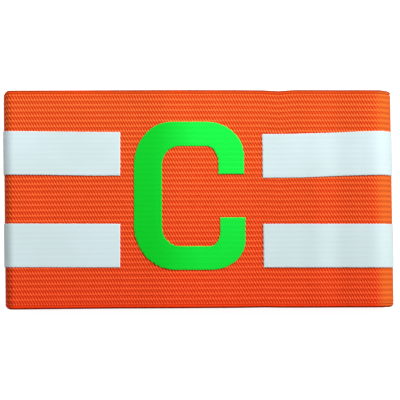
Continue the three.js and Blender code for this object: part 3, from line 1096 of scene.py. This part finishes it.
def stripe_film(name, left, upper, drop):
    """Stripe from its square end beside the letter, over the fold, tucked part of the way under it."""
    letter_edge = LETTER_X + (-LETTER_WIDTH if left else LETTER_WIDTH) / 2
    end_x = letter_edge - LEFT_STRIPE_TO_LETTER if left else letter_edge + RIGHT_STRIPE_TO_LETTER
    inner_end = loop.front_length(end_x)
    if left:
        start, end = inner_end, loop.left_waist + STRIPE_TUCK
    else:
        start, end = loop.right_waist - STRIPE_TUCK, inner_end
    lengths = np.linspace(start, end, round((end - start) / FILM_STEP))
    x = loop.at(lengths)[0][0]
    reach = FLAT_LENGTH / 2 - abs(end_x)
    share = np.clip(SINK_PACE * (FLAT_LENGTH / 2 - np.abs(x)) / reach, 0.0, 1.0)
    sink = drop * STRIPE_WIDTH * share**2 * (3 - 2 * share)
    outer_edge = STRIPE_SPREAD / 2
    top = STRIPE_Y + (outer_edge if upper else STRIPE_WIDTH - outer_edge) - sink
    if not left:
        drawn_in = read_column(EDGE_RUNS, "top", x / FLAT_LENGTH + 0.5)
        near_fold = x > DROOP_FROM * FLAT_LENGTH / 2
        droop = BAND_WIDTH * np.clip(drawn_in - DROOP_START, 0, 1) * near_fold
        top = top - droop * (0.5 + top / BAND_WIDTH)
    lines = [np.stack([lengths, top - STRIPE_WIDTH], -1), np.stack([lengths, top], -1)]
    piece = film_mesh(f"{name}_film", lines, STRIPE_FILM)
    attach(piece, BODY)
    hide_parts(name)


# Seam


def three_numbers(tree, *numbers):
    return new_node(tree, "ShaderNodeCombineXYZ", dict(enumerate(numbers))).outputs[0]


def zigzag_tree():
    """Short rounded threads along a straight edge that lean one way and then the other."""
    inputs = {"Pitch": 0.001, "Stitch Length": 0.002, "Thread Radius": 0.0001, "Lean": 0.5, "Seed": 3}
    tree, given, result = geometry_tree("zigzag_stitches", inputs)
    curve = new_node(tree, "GeometryNodeMeshToCurve", {0: given["Geometry"]}).outputs[0]
    spacing = {"Curve": curve, "Length": given["Pitch"]}
    points = new_node(tree, "GeometryNodeCurveToPoints", spacing, mode="LENGTH")
    form = {"Segments": THREAD_SIDES, "Rings": THREAD_RINGS, "Radius": given["Thread Radius"]}
    thread = new_node(tree, "GeometryNodeMeshUVSphere", form)
    odd = maths(tree, "MODULO", tree.nodes.new("GeometryNodeInputIndex").outputs[0], 2.0)
    side = scaled(tree, odd, 2.0, -1.0)
    stray = new_node(tree, "FunctionNodeRandomValue", {"Seed": given["Seed"]}, data_type="FLOAT")
    lowest, highest = [s for s in stray.inputs if s.type == "VALUE" and s.enabled]
    lowest.default_value, highest.default_value = -SEAM_STITCH_STRAY, SEAM_STITCH_STRAY
    random_value = next(s for s in stray.outputs if s.enabled)
    turn = scaled(tree, side, given["Lean"], random_value)
    ratio = maths(tree, "DIVIDE", given["Stitch Length"], given["Thread Radius"])
    copies = {
        "Points": points.outputs["Points"],
        "Instance": thread.outputs["Mesh"],
        "Rotation": three_numbers(tree, 0.0, 0.0, turn),
        "Scale": three_numbers(tree, times(tree, ratio, 0.5), 1.0, 1.0),
    }
    placed = new_node(tree, "GeometryNodeInstanceOnPoints", copies)
    finish_geometry(tree, placed.outputs[0], given["Material"], result)
    return tree


def seam_stitches():
    """Zigzag thread over the butted ends of the elastic, inside the loop and under it."""
    tree = zigzag_tree()
    values = {
        "Pitch": SEAM_STITCH_PITCH / 2 * MM,
        "Stitch Length": SEAM_STITCH_WIDTH * MM,
        "Thread Radius": THREAD_RADIUS * MM,
        "Lean": math.asin(SEAM_STITCH_PITCH / 2 / SEAM_STITCH_WIDTH),
        "Seed": 3,
        "Material": THREAD,
    }
    reach = BAND_WIDTH / 2 - SELVEDGE_WIDTH / 2
    levels = {
        "seam_stitches_inside": WALL - THREAD_SINK,
        "seam_stitches_under": THREAD_RADIUS + THREAD_CLEARANCE,
    }
    for name, level in levels.items():
        line = bpy.data.meshes.new(name)
        ends = np.array([[SEAM_OFFSET, -reach, level], [SEAM_OFFSET, reach, level]]) * MM + SHIFT
        line.from_pydata(ends.tolist(), [(0, 1)], [])
        piece = add_object(name, line)
        add_geometry_nodes(piece, tree, values)
        keep_evaluated(piece)
        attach(piece, BODY)


# Studio


def floor():
    """Plain pale floor, bright to the camera like a light table, that throws little light back."""
    mesh = bpy.data.meshes.new("floor")
    half, level = 2.0, -0.00005
    corners = [(-half, -half, level), (half, -half, level), (half, half, level), (-half, half, level)]
    mesh.from_pydata(corners, [], [(0, 1, 2, 3)])
    finish = {
        "Roughness": 0.9,
        "Base Color": (0.6, 0.6, 0.6, 1.0),
        "Specular IOR Level": 0.1,
        "Emission Color": (1.0, 1.0, 1.0, 1.0),
    }
    material, tree, shader = new_material("pale_floor", finish)
    seen = tree.nodes.new("ShaderNodeLightPath").outputs["Is Camera Ray"]
    fill(shader, {"Emission Strength": times(tree, seen, 0.9)})
    mesh.materials.append(material)
    piece = add_object("floor", mesh)


def area_light(name, place, size, power):
    """Square soft light that faces the origin."""
    data = bpy.data.lights.new(name, "AREA")
    data.shape = "SQUARE"
    data.size = size
    data.energy = power
    lamp = add_object(name, data)
    lamp.location = place
    to_origin = -lamp.location
    lamp.rotation_euler = to_origin.to_track_quat("-Z", "Y").to_euler()
    lamp.visible_camera = False


def studio():
    """Soft key light from the right, weak fill from the left, light over the upper edge, pale surround."""
    floor()
    area_light("key_right", (1.17, 0.55, 0.94), 0.5, 22.8)
    area_light("fill_left", (-1.2, 0.15, 0.45), 0.6, 2.2)
    area_light("upper_edge", (-0.01, 0.24, 0.26), 0.14, 0.84)
    world = bpy.data.worlds.new("studio")
    world.use_nodes = True
    backdrop = world.node_tree.nodes["Background"]
    fill(backdrop, {"Color": (1.0, 1.0, 1.0, 1.0), "Strength": 0.2})
    bpy.context.scene.world = world
    bpy.context.scene.view_settings.view_transform = "Standard"


def camera():
    """Camera straight above the band, with the photograph's framing."""
    data = bpy.data.cameras.new("camera")
    data.lens, data.sensor_width = LENS, SENSOR
    seer = add_object("camera", data)
    frame_width = PHOTO_SIZE / PHOTO_PIXELS_PER_MM
    top = LOOP_HEIGHT * PHOTO_SCALE_HEIGHT
    across = (PHOTO_SIZE / 2 - PHOTO_BAND_X) / PHOTO_PIXELS_PER_MM
    up = (PHOTO_BAND_Y - PHOTO_SIZE / 2) / PHOTO_PIXELS_PER_MM
    seer.location = np.array([across, up, top + frame_width * LENS / SENSOR]) * MM + SHIFT
    data.clip_start, data.clip_end = 0.05, 10.0
    bpy.context.scene.camera = seer


camera()
studio()
band = woven_band()
letter_film()
for stripe in STRIPES:
    stripe_film(**stripe)
seam_stitches()
